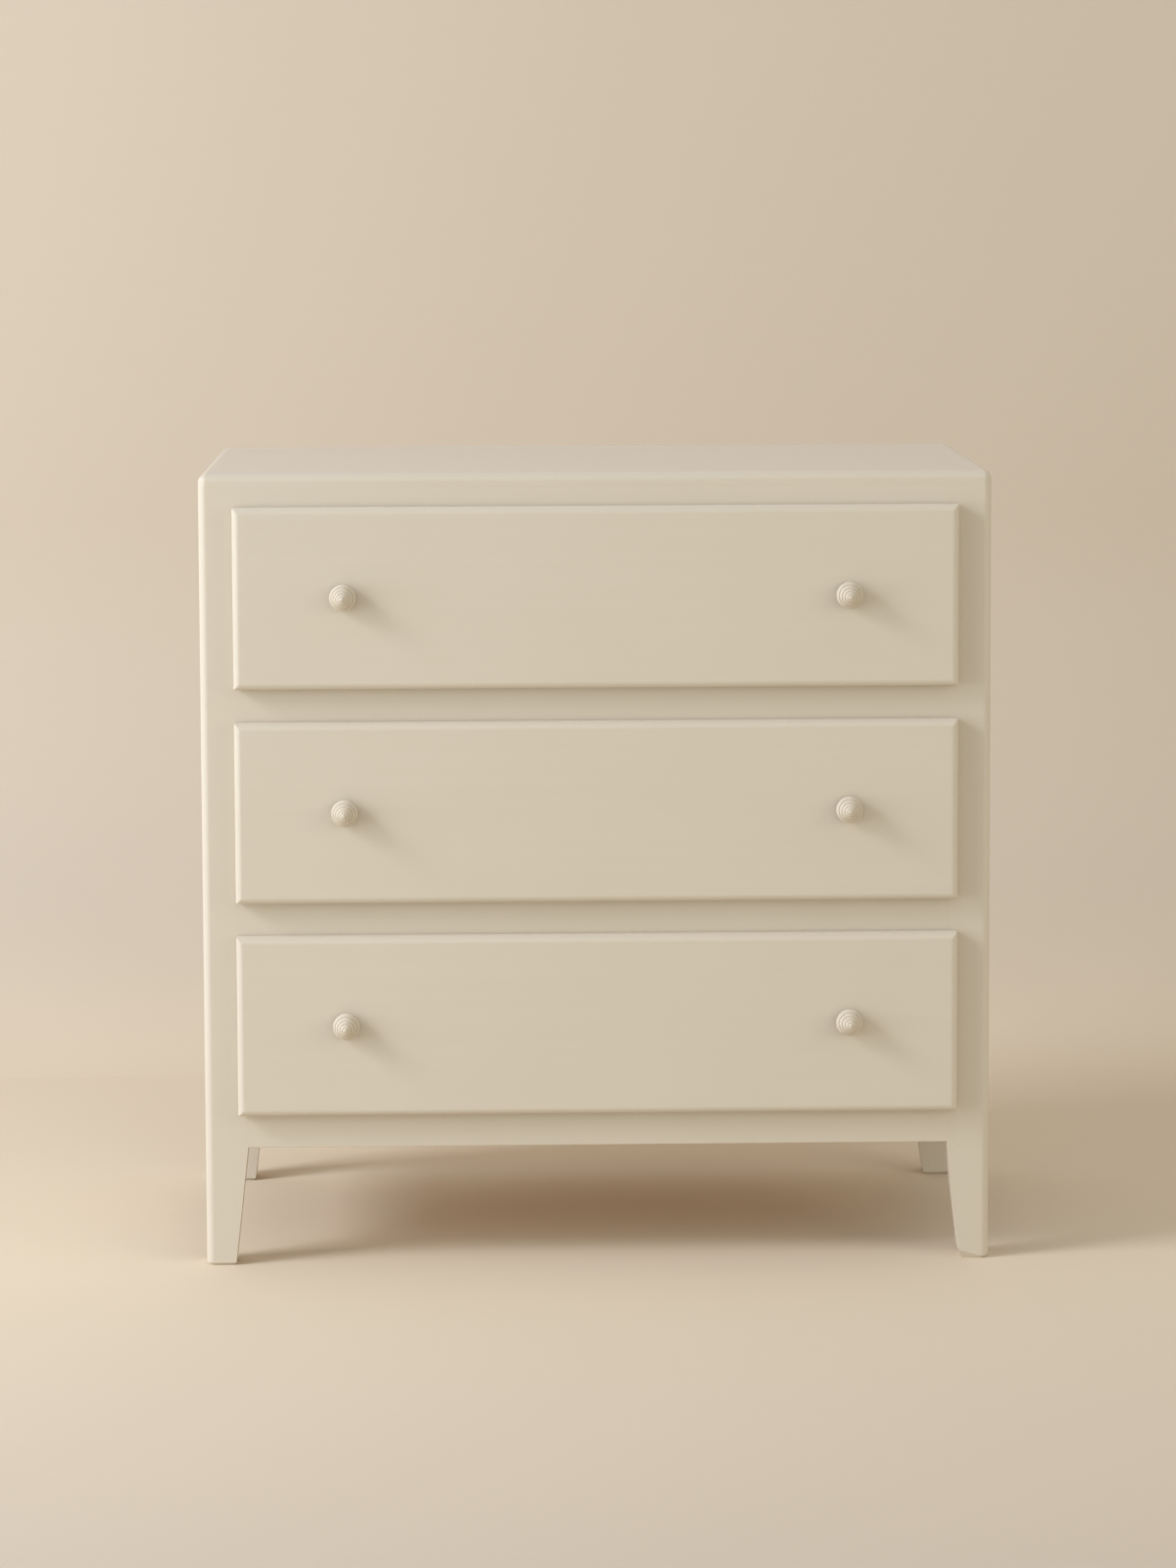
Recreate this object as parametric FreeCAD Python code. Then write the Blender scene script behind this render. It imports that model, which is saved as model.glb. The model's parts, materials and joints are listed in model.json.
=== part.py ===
import FreeCAD, Part
import math
import os

# A floor-standing wooden commode with three drawers.
# Millimetres. X runs to the right, Y to the back and Z up. The origin is on the floor, in the
# middle of the box that holds the whole object, knobs included.

Vector = FreeCAD.Vector
outward = Vector(0, -1, 0)

# Overall sizes
width = 880.0
height = 890.0
top_depth = 450.0
top_thickness = 14.0
edge_round = 9.0
rear_overhang = 14.0

# Posts, each a stile and its tapered leg in one piece
post_width = 48.0
post_depth = 34.0
foot_width = 33.0
leg_length = 134.0
foot_chamfer = 3.0
rear_round = 3.0

# Rails and their tenons
rail_thickness = 22.0
upper_rear_rail_height = 60.0
tenon_thickness = 10.0
tenon_length = 22.0
tenon_shoulder = 6.0
mortise_spare = 1.0

# Side panels, tongued into the posts, and the back panel in its rebate
panel_thickness = 16.0
panel_recess = 4.0
tongue_thickness = 8.0
tongue_length = 8.0
back_thickness = 5.0
back_rebate = 10.0

# Drawer fronts, which lie on the frame
front_height = 202.0
front_thickness = 20.0
front_overlap = 10.0
front_spacing = 37.5
front_standoff = 0.5
bottom_reveal = 39.0
front_round = 8.0

# Drawer boxes
drawer_names = ["lower", "middle", "upper"]
box_height = 158.0
box_depth = 400.0
box_lift = 7.0
box_clearance = 2.0
side_thickness = 15.0
inner_front_thickness = 15.0
drawer_back_thickness = 12.0
bottom_thickness = 5.0
bottom_lift = 8.0
bottom_groove = 6.0

# Dovetails
tail_count = 5
tail_root = 21.6
tail_end = 25.6

# Runners and the grooves that ride on them
runner_height = 18.0
runner_fit = 0.5
groove_depth = 8.0
groove_side_fit = 0.6
groove_stop_gap = 0.3
runner_tenon_width = 18.0
runner_tenon_height = 12.0
runner_tenon_length = 8.0

# Cleats under the top board
cleat_size = 20.0

# Knobs, turned in stepped rings: the radius and the outer end of each, and last the tip
knob_spacing = 560.0
knob_rise = 2.0
knob_foot = 8.5
knob_flare = 5.5
knob_length = 29.5
knob_rings = [(15.0, 9.5), (12.2, 14.6), (9.3, 19.4), (6.4, 24.2), (3.2, knob_length)]

# Screws that hold the knobs
screw_head = 4.5
screw_head_depth = 2.4
screw_shank = 2.0
screw_length = 45.0
screw_hole_fit = 0.1

# Planes that several pieces share
overall_depth = knob_length + front_thickness + front_standoff + top_depth
frame_front = -overall_depth / 2 + knob_length + front_thickness + front_standoff
frame_top = height - top_thickness
half_width = width / 2
opening_half = half_width - post_width
post_back = frame_front + post_depth
rear_post_back = frame_front + top_depth - rear_overhang
rear_post_front = rear_post_back - post_depth
panel_outer = half_width - panel_recess
panel_inner = panel_outer - panel_thickness
back_front = rear_post_back - back_thickness
rear_rail_front = back_front - rail_thickness
front_back_face = frame_front - front_standoff
front_face = front_back_face - front_thickness
front_half = opening_half + front_overlap
box_half = opening_half - box_clearance
side_inner = box_half - side_thickness
box_back = front_back_face + box_depth
drawer_pitch = front_height + front_spacing
lowest_front = leg_length + bottom_reveal


def block(x, y, z):
    """A rectangular solid between two x, two y and two z values."""
    size = [limits[1] - limits[0] for limits in (x, y, z)]
    return Part.makeBox(*size, Vector(x[0], y[0], z[0]))


def mirrored(shape):
    """The right-hand piece that matches a left-hand one."""
    return shape.mirror(Vector(0, 0, 0), Vector(1, 0, 0))


def both_sides(shape):
    """A piece's feature on the left, with its mirror image on the right."""
    return shape.fuse(mirrored(shape))


def save(name, shape):
    """Write one piece, or one group of identical pieces, to its file."""
    shape.exportStep("parts/" + name + ".step")


def edges_at(shape, **planes):
    """The edges that lie wholly on the given planes, such as x=10 or z=0."""
    found = []
    for edge in shape.Edges:
        points = [vertex.Point for vertex in edge.Vertexes]
        if all(abs(getattr(p, axis) - at) < 1e-6 for p in points for axis, at in planes.items()):
            found.append(edge)
    return found


def rounded_outline(corners, place):
    """A closed face through the corners (u, v, radius), each turned by an arc of its radius.
    The place function puts a plane point (u, v) into space."""
    ends = []
    arcs = []
    count = len(corners)
    for i, (u, v, radius) in enumerate(corners):
        corner = Vector(u, v, 0)
        if radius == 0:
            ends.append((corner, corner))
            continue
        before = (Vector(*corners[i - 1][:2], 0) - corner).normalize()
        after = (Vector(*corners[(i + 1) % count][:2], 0) - corner).normalize()
        half_angle = before.getAngle(after) / 2
        reach = radius / math.tan(half_angle)
        inward = (before + after).normalize()
        middle = corner + inward * (radius / math.sin(half_angle) - radius)
        ends.append((corner + before * reach, corner + after * reach))
        arcs.append((ends[-1][0], middle, ends[-1][1]))
    edges = [Part.Arc(*[place(p.x, p.y) for p in arc]).toShape() for arc in arcs]
    for i, (start, leave) in enumerate(ends):
        arrive = ends[(i + 1) % count][0]
        edges.append(Part.makeLine(place(leave.x, leave.y), place(arrive.x, arrive.y)))
    return Part.Face(Part.Wire(Part.__sortEdges__(edges)))


def turned(outline, centre):
    """A solid turned about a line out of the front, from (radius, distance) points."""
    points = [centre + Vector(radius, 0, 0) + outward * distance for radius, distance in outline]
    first = centre + outward * outline[0][1]
    last = centre + outward * outline[-1][1]
    face = Part.Face(Part.makePolygon([first] + points + [last, first]))
    return face.revolve(centre, outward, 360)


def drawer_level(index):
    """The height of the lower edge of a drawer front, counted from the lowest drawer."""
    return lowest_front + index * drawer_pitch


def box_level(index):
    """The height of the lower edge of a drawer box."""
    return drawer_level(index) + front_overlap + box_lift


def runner_level(index):
    """The height of the middle of a runner and of its groove."""
    return box_level(index) + box_height / 2


def knob_level(index):
    """The height of a drawer's knobs."""
    return drawer_level(index) + front_height / 2 + knob_rise


def front_rail_levels():
    """The lower and upper edge of each front rail, from the bottom rail up."""
    edges = [leg_length]
    for index in range(len(drawer_names)):
        edges.append(drawer_level(index) + front_overlap)
        edges.append(drawer_level(index) + front_height - front_overlap)
    edges.append(frame_top)
    return [(edges[i], edges[i + 1]) for i in range(0, len(edges), 2)]


def rear_rail_levels():
    """The lower and upper edge of the two rear rails."""
    lower = (leg_length, drawer_level(0) + front_overlap)
    upper = (frame_top - upper_rear_rail_height, frame_top)
    return [lower, upper]


def tenon(rail_front, level, length):
    """A rail's left tenon, reaching the given length into the post."""
    cheek = rail_front + (rail_thickness - tenon_thickness) / 2
    return block(
        (-opening_half - length, -opening_half),
        (cheek, cheek + tenon_thickness),
        (level[0] + tenon_shoulder, level[1] - tenon_shoulder),
    )


def rail(rail_front, level):
    """A rail between two posts, with a tenon at each end."""
    body = block((-opening_half, opening_half), (rail_front, rail_front + rail_thickness), level)
    return body.fuse(both_sides(tenon(rail_front, level, tenon_length))).removeSplitter()


def runner_tenon(index, y):
    """The stub tenon of a left runner between two y values."""
    middle = -(panel_inner + opening_half) / 2
    level = runner_level(index)
    return block(
        (middle - runner_tenon_width / 2, middle + runner_tenon_width / 2),
        y,
        (level - runner_tenon_height / 2, level + runner_tenon_height / 2),
    )


def panel_tongue(y):
    """The part of the left side panel that sits in a post's groove."""
    middle = -(panel_outer + panel_inner) / 2
    return block(
        (middle - tongue_thickness / 2, middle + tongue_thickness / 2),
        y,
        (leg_length, frame_top),
    )


def post_blank(y):
    """A left post before its joints are cut: a stile whose inner edge tapers to the foot."""
    outline = [
        (-half_width, 0),
        (-half_width + foot_width, 0),
        (-opening_half, leg_length),
        (-opening_half, frame_top),
        (-half_width, frame_top),
    ]
    points = [Vector(x, y, z) for x, z in outline]
    face = Part.Face(Part.makePolygon(points + points[:1]))
    return face.extrude(Vector(0, post_depth, 0))


def eased_foot(post):
    """The post with a chamfer round its foot, so that it doesn't splinter on the floor."""
    return post.makeChamfer(foot_chamfer, edges_at(post, z=0))


def front_post():
    """The left front post, with its joints."""
    post = post_blank(frame_front)
    post = post.makeFillet(edge_round, edges_at(post, x=-half_width, y=frame_front))
    post = eased_foot(post)
    for level in front_rail_levels():
        post = post.cut(tenon(frame_front, level, tenon_length + mortise_spare))
    post = post.cut(panel_tongue((post_back - tongue_length - mortise_spare, post_back)))
    for index in range(len(drawer_names)):
        reach = (post_back - runner_tenon_length - mortise_spare, post_back)
        post = post.cut(runner_tenon(index, reach))
    return post


def rear_post():
    """The left rear post, with its joints and the rebate for the back panel."""
    post = post_blank(rear_post_front)
    post = post.makeFillet(rear_round, edges_at(post, x=-half_width, y=rear_post_back))
    post = eased_foot(post)
    for level in rear_rail_levels():
        post = post.cut(tenon(rear_rail_front, level, tenon_length + mortise_spare))
    reach = (rear_post_front, rear_post_front + tongue_length + mortise_spare)
    post = post.cut(panel_tongue(reach))
    for index in range(len(drawer_names)):
        reach = (rear_post_front, rear_post_front + runner_tenon_length + mortise_spare)
        post = post.cut(runner_tenon(index, reach))
    return post.cut(back_panel())


def side_panel():
    """The left side panel, let into the grooves of both posts."""
    body = block((-panel_outer, -panel_inner), (post_back, rear_post_front), (leg_length, frame_top))
    tongue = panel_tongue((post_back - tongue_length, rear_post_front + tongue_length))
    return body.fuse(tongue).removeSplitter()


def back_panel():
    """The thin back panel, which lies in the rebates of the rear posts and on the rear rails."""
    reach = opening_half + back_rebate
    return block((-reach, reach), (back_front, rear_post_back), (leg_length, frame_top))


def runner(index):
    """A left runner, tenoned between the posts, whose inner edge stands into the drawer's groove."""
    level = runner_level(index)
    body = block(
        (-panel_inner, -(box_half - groove_depth + groove_side_fit)),
        (post_back, rear_post_front),
        (level - runner_height / 2, level + runner_height / 2),
    )
    reach = (post_back - runner_tenon_length, rear_post_front + runner_tenon_length)
    return body.fuse(runner_tenon(index, reach)).removeSplitter()


def top_cleat():
    """The left cleat, a square batten between the posts that holds the top board down."""
    return block(
        (-panel_inner, -panel_inner + cleat_size),
        (post_back, rear_post_front),
        (frame_top - cleat_size, frame_top),
    )


def top_board():
    """The top board, rounded over along its front and side edges."""
    back = frame_front + top_depth
    board = block((-half_width, half_width), (frame_front, back), (frame_top, height))
    corners = edges_at(board, x=-half_width, y=frame_front)
    corners += edges_at(board, x=half_width, y=frame_front)
    board = board.makeFillet(edge_round, corners)
    rear_edges = [edge.hashCode() for edge in edges_at(board, y=back, z=height)]
    rim = [edge for edge in edges_at(board, z=height) if edge.hashCode() not in rear_edges]
    return board.makeFillet(edge_round, rim)


def drawer_front(index):
    """A front board: a round runs about its face and meets in mitres at the corners."""
    level = drawer_level(index)
    middle = level + front_height / 2

    def section(half, place):
        return rounded_outline(
            [
                (-half, front_back_face, 0),
                (-half, front_face, front_round),
                (half, front_face, front_round),
                (half, front_back_face, 0),
            ],
            place,
        )

    across = section(front_half, lambda u, v: Vector(u, v, level))
    upright = section(front_height / 2, lambda u, v: Vector(-front_half, v, middle + u))
    wide = across.extrude(Vector(0, 0, front_height))
    tall = upright.extrude(Vector(2 * front_half, 0, 0))
    return wide.common(tall).cut(screw_holes(index))


def tails(index, root, end):
    """The tails of a left drawer side, from their root to the end of the board."""
    pitch = box_height / tail_count
    solids = []
    for number in range(tail_count):
        middle = box_level(index) + (number + 0.5) * pitch
        points = [
            Vector(-box_half, root, middle - tail_root / 2),
            Vector(-box_half, root, middle + tail_root / 2),
            Vector(-box_half, end, middle + tail_end / 2),
            Vector(-box_half, end, middle - tail_end / 2),
        ]
        face = Part.Face(Part.makePolygon(points + points[:1]))
        solids.append(face.extrude(Vector(side_thickness, 0, 0)))
    return Part.makeCompound(solids)


def drawer_bottom(index):
    """The thin bottom, in grooves in the sides and the inner front, under the back."""
    level = box_level(index) + bottom_lift
    reach = side_inner + bottom_groove
    front = front_back_face + inner_front_thickness - bottom_groove
    return block((-reach, reach), (front, box_back), (level, level + bottom_thickness))


def inner_front(index):
    """The front board of the drawer box, with pins at both ends."""
    level = box_level(index)
    root = front_back_face + inner_front_thickness
    board = block((-box_half, box_half), (front_back_face, root), (level, level + box_height))
    sockets = tails(index, root, front_back_face)
    board = board.cut(sockets).cut(mirrored(sockets))
    return board.cut(drawer_bottom(index)).cut(screw_holes(index))


def drawer_back(index):
    """The back board of the drawer box, which stands on the bottom, with pins at both ends."""
    level = box_level(index)
    root = box_back - drawer_back_thickness
    foot = level + bottom_lift + bottom_thickness
    board = block((-box_half, box_half), (root, box_back), (foot, level + box_height))
    sockets = tails(index, root, box_back)
    return board.cut(sockets).cut(mirrored(sockets))


def drawer_side(index):
    """The left side of a drawer box, with tails at both ends and a groove for the runner.
    The closed front end of the groove meets the runner and stops the drawer."""
    level = box_level(index)
    board = block(
        (-box_half, -side_inner),
        (front_back_face, box_back),
        (level, level + box_height),
    )
    groove_half = runner_height / 2 + runner_fit
    groove = block(
        (-box_half, -box_half + groove_depth),
        (post_back - groove_stop_gap, box_back),
        (runner_level(index) - groove_half, runner_level(index) + groove_half),
    )
    board = board.cut(inner_front(index)).cut(drawer_back(index))
    return board.cut(drawer_bottom(index)).cut(groove)


def knob_centres(index, y):
    """The two points on a drawer's knob axes at the given depth."""
    return [Vector(side * knob_spacing / 2, y, knob_level(index)) for side in (-1, 1)]


def screw_holes(index):
    """The clearance holes for a drawer's knob screws, through both front boards."""
    start = front_back_face + inner_front_thickness
    reach = start - front_face
    radius = screw_shank + screw_hole_fit
    holes = [Part.makeCylinder(radius, reach, at, outward) for at in knob_centres(index, start)]
    return Part.makeCompound(holes)


def knobs(index):
    """A drawer's two knobs: a flared foot, then rings that step in to the tip."""
    outline = [(knob_foot, 0.0)]
    start = knob_flare
    for radius, end in knob_rings:
        outline.append((radius, start))
        outline.append((radius, end))
        start = end
    return Part.makeCompound([turned(outline, at) for at in knob_centres(index, front_face)])


def knob_screws(index):
    """The screws that pass from inside the drawer through both fronts and bite into the knobs."""
    outline = [
        (screw_head, -screw_head_depth),
        (screw_head, 0.0),
        (screw_shank, 0.0),
        (screw_shank, screw_length),
    ]
    start = front_back_face + inner_front_thickness
    return Part.makeCompound([turned(outline, at) for at in knob_centres(index, start)])


def save_pair(name, left):
    """Save a left piece and its mirror image on the right."""
    save("left_" + name, left)
    save("right_" + name, mirrored(left))


def save_carcass():
    """Every piece that stands still."""
    save("top_board", top_board())
    save_pair("front_post", front_post())
    save_pair("rear_post", rear_post())
    save_pair("side_panel", side_panel())
    save("back_panel", back_panel())
    rail_names = ["bottom_rail", "lower_divider_rail", "upper_divider_rail", "top_rail"]
    for name, level in zip(rail_names, front_rail_levels()):
        save(name, rail(frame_front, level))
    for name, level in zip(["lower_rear_rail", "upper_rear_rail"], rear_rail_levels()):
        save(name, rail(rear_rail_front, level))
    for index, name in enumerate(drawer_names):
        save_pair(name + "_runner", runner(index))
    save_pair("top_cleat", top_cleat())


def save_drawer(index):
    """Every piece of one drawer."""
    name = drawer_names[index] + "_drawer_"
    save(name + "front", drawer_front(index))
    save(name + "inner_front", inner_front(index))
    left = drawer_side(index)
    save(name + "left_side", left)
    save(name + "right_side", mirrored(left))
    save(name + "back", drawer_back(index))
    save(name + "bottom", drawer_bottom(index))
    save(name + "knobs", knobs(index))
    save(name + "knob_screws", knob_screws(index))


os.makedirs("parts", exist_ok=True)
save_carcass()
for drawer in range(len(drawer_names)):
    save_drawer(drawer)
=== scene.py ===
import json
import math

import bmesh
import bpy
from mathutils import Matrix, Vector


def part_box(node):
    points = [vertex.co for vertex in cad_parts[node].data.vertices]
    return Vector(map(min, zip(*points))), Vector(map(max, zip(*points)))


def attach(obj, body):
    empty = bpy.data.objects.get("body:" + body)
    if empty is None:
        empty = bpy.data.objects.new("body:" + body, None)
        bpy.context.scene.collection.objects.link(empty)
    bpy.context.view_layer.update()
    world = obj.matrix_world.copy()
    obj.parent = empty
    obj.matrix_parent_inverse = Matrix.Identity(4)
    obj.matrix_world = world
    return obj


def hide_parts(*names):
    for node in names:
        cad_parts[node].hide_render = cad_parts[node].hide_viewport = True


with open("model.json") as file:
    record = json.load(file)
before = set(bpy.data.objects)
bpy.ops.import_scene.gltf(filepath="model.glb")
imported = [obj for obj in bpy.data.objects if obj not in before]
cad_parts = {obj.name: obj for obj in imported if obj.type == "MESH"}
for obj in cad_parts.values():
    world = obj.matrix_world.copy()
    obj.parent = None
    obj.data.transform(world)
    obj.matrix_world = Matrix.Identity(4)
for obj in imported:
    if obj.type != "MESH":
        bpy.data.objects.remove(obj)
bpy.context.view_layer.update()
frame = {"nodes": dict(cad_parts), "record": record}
scene = bpy.context.scene
nodes = frame["nodes"]
bodyOf = {n: body for body, names in frame["record"]["behaviour"]["bodies"].items() for n in names}
print("frame loaded:", len(nodes), "nodes")


# camera, low in front of the commode and a little to its left

cameraPlace = {
    "location": (-0.115, -4.948, 1.239),
    "down": 5.214,  # degrees below level
    "right": 1.283,  # degrees turned to the right
    "lean": 0.223,
    "lens": 98.8,
    "shift": -0.15,
}


def addCamera(place):
    data = bpy.data.cameras.new("camera")
    data.lens = place["lens"]
    data.shift_y = place["shift"]
    camera = bpy.data.objects.new("camera", data)
    scene.collection.objects.link(camera)
    level = Matrix(((1, 0, 0), (0, 0, -1), (0, 1, 0)))  # looks along +Y, with Z up
    turn = Matrix.Rotation(math.radians(-place["right"]), 3, "Z")
    nod = Matrix.Rotation(math.radians(-place["down"]), 3, "X")
    lean = Matrix.Rotation(math.radians(place["lean"]), 3, "Y")
    camera.matrix_world = (turn @ nod @ lean @ level).to_4x4()
    camera.location = place["location"]
    scene.camera = camera


addCamera(cameraPlace)
print("camera placed")


# small helpers for node trees

nodeGrid = {"rows": 8, "across": 220, "down": -180}


def hexColour(code):
    parts = [int(code[i:i + 2], 16) / 255 for i in (0, 2, 4)]
    return tuple(p / 12.92 if p <= 0.04045 else ((p + 0.055) / 1.055) ** 2.4 for p in parts) + (1.0,)


def feed(tree, node, sockets):
    # a socket takes a value, a node, whose first output it reads, or (node, output)
    for key, value in sockets.items():
        if isinstance(value, bpy.types.Node):
            value = (value, 0)
        if isinstance(value, tuple) and isinstance(value[0], bpy.types.Node):
            tree.links.new(value[0].outputs[value[1]], node.inputs[key])
        elif value is not None:
            node.inputs[key].default_value = value


def addNode(tree, kind, sockets=None, **settings):
    # nodes stand in columns, in the order that they are made
    column, row = divmod(len(tree.nodes), nodeGrid["rows"])
    new = tree.nodes.new(kind)
    new.location = (column * nodeGrid["across"], row * nodeGrid["down"])
    for key, value in settings.items():
        setattr(new, key, value)
    feed(tree, new, sockets or {})
    return new


def newGroup(name, kind, inputs, outputs):
    # inputs are (name, type, default) and outputs (name, type)
    tree = bpy.data.node_groups.new(name, kind)
    for label, socketType, default in inputs:
        socket = tree.interface.new_socket(name=label, in_out="INPUT", socket_type="NodeSocket" + socketType)
        if default is not None:
            socket.default_value = default
    for label, socketType in outputs:
        tree.interface.new_socket(name=label, in_out="OUTPUT", socket_type="NodeSocket" + socketType)
    return tree, addNode(tree, "NodeGroupInput"), addNode(tree, "NodeGroupOutput")


def mathNode(tree, operation, first=None, second=None, third=None, clamp=False):
    return addNode(tree, "ShaderNodeMath", {0: first, 1: second, 2: third}, operation=operation, use_clamp=clamp)


def times(tree, first, second):
    return mathNode(tree, "MULTIPLY", first, second)


def vectorMath(tree, operation, first=None, second=None, scale=None):
    return addNode(tree, "ShaderNodeVectorMath", {0: first, 1: second, "Scale": scale}, operation=operation)


def axisOf(tree, vector, axis):
    return addNode(tree, "ShaderNodeSeparateXYZ", {0: vector}), axis


def mapRange(tree, value, start, end, low=0.0, high=1.0, **settings):
    sockets = {"Value": value, "From Min": start, "From Max": end, "To Min": low, "To Max": high}
    return addNode(tree, "ShaderNodeMapRange", sockets, **settings)


def noise(tree, vector, **sockets):
    return addNode(tree, "ShaderNodeTexNoise", {"Vector": vector, **sockets})


def mixColours(tree, share, first, second):
    # colours are hex codes or (node, output), as the result is
    colours = {place: hexColour(c) if isinstance(c, str) else c for place, c in ((6, first), (7, second))}
    return addNode(tree, "ShaderNodeMix", {0: share, **colours}, data_type="RGBA"), 2


# shader groups that several finishes share

def stretchAlong(tree, start, width, length):
    # the point counted in strokes or fibres, whose width and length are inputs of the group
    across = mathNode(tree, "DIVIDE", 1.0, (start, width))
    along = mathNode(tree, "DIVIDE", 1.0, (start, length))
    count = addNode(tree, "ShaderNodeCombineXYZ", {"X": along, "Y": across, "Z": across})
    return vectorMath(tree, "MULTIPLY", (start, "Vector"), count)


def makeBrushCoat():
    # paint laid on with a brush, its strokes along X of the vector that comes in
    tree, start, end = newGroup(
        "brushCoat", "ShaderNodeTree",
        [("Vector", "Vector", None), ("Stroke Width", "Float", 0.002), ("Stroke Length", "Float", 0.12),
         ("Peel Size", "Float", 0.003)],
        [("Tone", "Float"), ("Height", "Float")],
    )
    point = (start, "Vector")
    stretched = stretchAlong(tree, start, "Stroke Width", "Stroke Length")
    strokes = noise(tree, stretched, Scale=1.0, Detail=3.0, Roughness=0.55, Distortion=0.2)
    broad = noise(tree, vectorMath(tree, "SCALE", stretched, scale=0.22), Scale=1.0, Detail=2.0, Roughness=0.5)
    peelScale = mathNode(tree, "DIVIDE", 1.0, (start, "Peel Size"))
    peel = noise(tree, point, Scale=peelScale, Detail=1.0, Roughness=0.4)
    cloud = noise(tree, point, Scale=5.0, Detail=3.0, Roughness=0.5)
    twoBrushes = mathNode(tree, "ADD", times(tree, strokes, 0.45), times(tree, broad, 0.35))
    height = mathNode(tree, "ADD", twoBrushes, times(tree, peel, 0.2))
    tone = mathNode(tree, "ADD", times(tree, cloud, 0.6), times(tree, broad, 0.4))
    feed(tree, end, {"Tone": tone, "Height": height})
    return tree


def makeRubbedEdge():
    # where hands and cloths rub: the outer edges, broken up
    tree, start, end = newGroup(
        "rubbedEdge", "ShaderNodeTree",
        [("Vector", "Vector", None), ("Radius", "Float", 0.002), ("Breakup", "Float", 40.0)],
        [("Mask", "Float")],
    )
    soft = addNode(tree, "ShaderNodeBevel", {"Radius": (start, "Radius")}, samples=4)
    crisp = addNode(tree, "ShaderNodeNewGeometry")
    facing = vectorMath(tree, "DOT_PRODUCT", soft, (crisp, "Normal"))
    edge = mapRange(tree, (facing, "Value"), 0.998, 0.93)
    patches = noise(tree, (start, "Vector"), Scale=(start, "Breakup"), Detail=3.0, Roughness=0.6)
    worn = mapRange(tree, patches, 0.38, 0.62, 0.15, 1.0)
    feed(tree, end, {"Mask": mathNode(tree, "MULTIPLY", edge, worn, clamp=True)})
    return tree


def makeBoardFigure():
    # yearly rings round a pith that runs along X beside the board, and fine fibres
    tree, start, end = newGroup(
        "boardFigure", "ShaderNodeTree",
        [("Vector", "Vector", None), ("Board", "Vector", None), ("Ring Width", "Float", 0.0035),
         ("Warp", "Float", 0.012), ("Fibre Width", "Float", 0.0007), ("Fibre Length", "Float", 0.05)],
        [("Rings", "Float"), ("Fibres", "Float"), ("Height", "Float")],
    )
    point = (start, "Vector")
    lot = addNode(tree, "ShaderNodeTexWhiteNoise", {"Vector": (start, "Board")}, noise_dimensions="3D")
    pithRange = {6: (lot, "Color"), 9: (-1.0, -0.11, 0.05), 10: (1.0, 0.11, 0.16)}
    pith = addNode(tree, "ShaderNodeMapRange", pithRange, data_type="FLOAT_VECTOR")
    moved = vectorMath(tree, "SUBTRACT", point, (pith, 1))
    slow = vectorMath(tree, "MULTIPLY", point, (1.6, 7.0, 7.0))
    drift = noise(tree, slow, Scale=1.0, Detail=2.0, Roughness=0.45)
    centred = vectorMath(tree, "SUBTRACT", (drift, "Color"), (0.5, 0.5, 0.5))
    bent = vectorMath(tree, "ADD", moved, vectorMath(tree, "SCALE", centred, scale=(start, "Warp")))
    reach = vectorMath(tree, "LENGTH", vectorMath(tree, "MULTIPLY", bent, (0.0, 1.0, 1.0)))
    year = mathNode(tree, "FRACT", mathNode(tree, "DIVIDE", (reach, "Value"), (start, "Ring Width")))
    late = mapRange(tree, year, 0.25, 0.95, interpolation_type="SMOOTHSTEP")
    stretched = stretchAlong(tree, start, "Fibre Width", "Fibre Length")
    spread = mapRange(tree, noise(tree, stretched, Scale=1.0, Detail=2.0, Roughness=0.6), 0.3, 0.7)
    height = mathNode(tree, "ADD", times(tree, late, 0.4), spread)
    feed(tree, end, {"Rings": late, "Fibres": spread, "Height": height})
    return tree


brushCoat = makeBrushCoat()
rubbedEdge = makeRubbedEdge()
boardFigure = makeBoardFigure()


# finishes

quarterTurn = math.pi / 2
turnToX = {"X": (0, 0, 0), "Y": (0, 0, -quarterTurn), "Z": (0, quarterTurn, 0)}  # brings that axis onto X


def blankMaterial(name):
    material = bpy.data.materials.new(name)
    material.use_nodes = True
    material.node_tree.nodes.clear()
    return material, material.node_tree


def startMaterial(name, direction):
    # a material with the piece's own point, counted from its middle, turned so that its grain runs along X
    material, tree = blankMaterial(name)
    shader = addNode(tree, "ShaderNodeBsdfPrincipled")
    addNode(tree, "ShaderNodeOutputMaterial", {"Surface": shader})
    point = (addNode(tree, "ShaderNodeTexCoord"), "Object")
    middle = (addNode(tree, "ShaderNodeAttribute", attribute_name="boardMiddle"), "Vector")
    own = vectorMath(tree, "SUBTRACT", point, middle)
    turned = addNode(tree, "ShaderNodeMapping", {"Vector": own, "Rotation": turnToX[direction]})
    return material, tree, shader, {"point": point, "middle": middle, "own": own, "turned": turned}


def placeGroup(tree, group, sockets):
    return addNode(tree, "ShaderNodeGroup", sockets, node_tree=group)


def addSurface(tree, shader, colour, height, roughness, strength, relief):
    # the finished colour, and a gloss and relief that follow one height
    rough = mapRange(tree, height, *roughness)
    bump = addNode(tree, "ShaderNodeBump", {"Height": height, "Strength": strength, "Distance": relief})
    feed(tree, shader, {"Base Color": colour, "Roughness": rough, "Normal": bump})


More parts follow.
